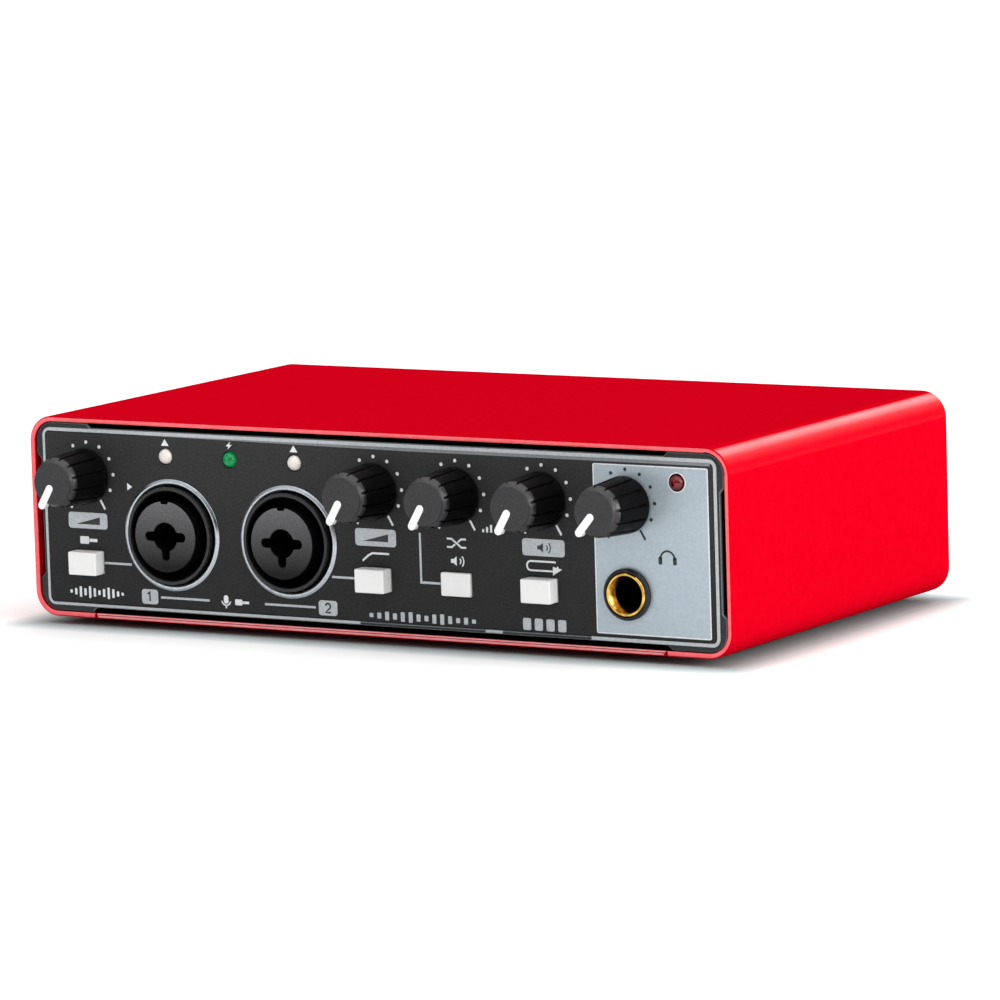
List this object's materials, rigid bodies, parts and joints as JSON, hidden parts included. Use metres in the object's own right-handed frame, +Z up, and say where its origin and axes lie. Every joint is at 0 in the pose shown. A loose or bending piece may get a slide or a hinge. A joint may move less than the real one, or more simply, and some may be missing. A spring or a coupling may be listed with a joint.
{
  "type": "audio interface",
  "caption": "Desktop audio interface in a bent red steel casing, with combination input sockets, knobs, push buttons, lamps and a headphone socket on a recessed front panel.",
  "frame": {"origin": "middle of the underside of the object's bounding box, on the surface that the feet stand on", "axes": "+X to the right seen from the front, +Y from the front to the rear, +Z up"},
  "size_m": [0.178, 0.116, 0.0468],
  "materials": {
    "casing_red": "satin powder coat",
    "bezel_black": "fine grain",
    "panel_grey": "fine matte with printed marks",
    "rear_black": "matte",
    "foot_rubber": "matte",
    "screw_steel": "zinc plated",
    "nylon": "moulded",
    "board_green": "solder mask",
    "connector_black": "moulded",
    "capacitor_sleeve": "shrink sleeve",
    "chip_black": "moulded",
    "pot_steel": "plated",
    "switch_housing": "moulded",
    "button_white": "satin",
    "stem_plastic": "moulded",
    "contact_gold": "plated",
    "nut_black": "satin",
    "bush_gold": "polished",
    "socket_black": "moulded",
    "insert_black": "fine spark-eroded",
    "lamp_white": "diffused lens",
    "lamp_green": "tinted lens",
    "lamp_red": "tinted lens",
    "knob_black": "soft satin",
    "pointer_white": "satin",
    "shaft_alloy": "turned",
    "ring_silver": "turned",
    "nut_steel": "nickel plated",
    "usb_steel": "plated",
    "usb_plastic": "moulded"
  },
  "bodies": {
    "chassis": {"top_cover": "casing_red", "bottom_plate": "casing_red", "front_bezel": "bezel_black", "front_panel": "panel_grey", "rear_panel": "rear_black", "rubber_feet": "foot_rubber", "cover_screws": "screw_steel", "rear_screws": "screw_steel", "board_posts": "nylon", "main_board": "board_green", "front_board": "board_green", "board_connector": "connector_black", "capacitors": "capacitor_sleeve", "chips": "chip_black", "potentiometer_bodies": "pot_steel", "switch_bodies": "switch_housing", "jack_contacts": "contact_gold", "phones_nut": "nut_black", "phones_bush": "bush_gold", "phones_jack": "socket_black", "lamp_peak_left": "lamp_white", "lamp_phantom": "lamp_green", "lamp_peak_right": "lamp_white", "lamp_power": "lamp_red", "output_nuts": "nut_steel", "usb_socket": "usb_steel", "usb_tongue": "usb_plastic", "combo_ring_left": "ring_silver", "combo_housing_left": "socket_black", "combo_insert_left": "insert_black", "output_jack_left": "socket_black", "combo_ring_right": "ring_silver", "combo_housing_right": "socket_black", "combo_insert_right": "insert_black", "output_jack_right": "socket_black"},
    "gain_left_knob": {"knob_gain_left": "knob_black", "pointer_gain_left": "pointer_white", "shaft_gain_left": "shaft_alloy"},
    "gain_right_knob": {"knob_gain_right": "knob_black", "pointer_gain_right": "pointer_white", "shaft_gain_right": "shaft_alloy"},
    "mix_knob": {"knob_mix": "knob_black", "pointer_mix": "pointer_white", "shaft_mix": "shaft_alloy"},
    "output_knob": {"knob_output": "knob_black", "pointer_output": "pointer_white", "shaft_output": "shaft_alloy"},
    "phones_knob": {"knob_phones": "knob_black", "pointer_phones": "pointer_white", "shaft_phones": "shaft_alloy"},
    "hiz_button": {"button_hiz": "button_white", "stem_hiz": "stem_plastic"},
    "lowcut_button": {"button_lowcut": "button_white", "stem_lowcut": "stem_plastic"},
    "monitor_button": {"button_monitor": "button_white", "stem_monitor": "stem_plastic"},
    "loopback_button": {"button_loopback": "button_white", "stem_loopback": "stem_plastic"},
    "phantom_button": {"button_phantom": "button_white", "stem_phantom": "stem_plastic"}
  },
  "joints": [
    {"name": "gain_left_turn", "type": "hinge", "parent": "chassis", "child": "gain_left_knob", "pos_m": [-0.0742, -0.04408, 0.0338], "axis": [0, 1, 0], "range_deg": [0, 300]},
    {"name": "gain_right_turn", "type": "hinge", "parent": "chassis", "child": "gain_right_knob", "pos_m": [0.001, -0.04408, 0.0338], "axis": [0, 1, 0], "range_deg": [0, 300]},
    {"name": "mix_turn", "type": "hinge", "parent": "chassis", "child": "mix_knob", "pos_m": [0.0217, -0.04408, 0.0338], "axis": [0, 1, 0], "range_deg": [0, 300]},
    {"name": "output_turn", "type": "hinge", "parent": "chassis", "child": "output_knob", "pos_m": [0.0432, -0.04408, 0.0338], "axis": [0, 1, 0], "range_deg": [0, 300]},
    {"name": "phones_turn", "type": "hinge", "parent": "chassis", "child": "phones_knob", "pos_m": [0.0638, -0.04408, 0.0338], "axis": [0, 1, 0], "range_deg": [-10, 290]},
    {"name": "hiz_press", "type": "slide", "parent": "chassis", "child": "hiz_button", "axis": [0, 1, 0], "range_m": [0, 0.0028], "stiffness_N_per_m": 300, "springref_m": -0.001},
    {"name": "lowcut_press", "type": "slide", "parent": "chassis", "child": "lowcut_button", "axis": [0, 1, 0], "range_m": [0, 0.0028], "stiffness_N_per_m": 300, "springref_m": -0.001},
    {"name": "monitor_press", "type": "slide", "parent": "chassis", "child": "monitor_button", "axis": [0, 1, 0], "range_m": [-0.0025, 0.0003]},
    {"name": "loopback_press", "type": "slide", "parent": "chassis", "child": "loopback_button", "axis": [0, 1, 0], "range_m": [0, 0.0028], "stiffness_N_per_m": 300, "springref_m": -0.001},
    {"name": "phantom_press", "type": "slide", "parent": "chassis", "child": "phantom_button", "axis": [0, -1, 0], "range_m": [0, 0.0028], "stiffness_N_per_m": 300, "springref_m": -0.001}
  ]
}
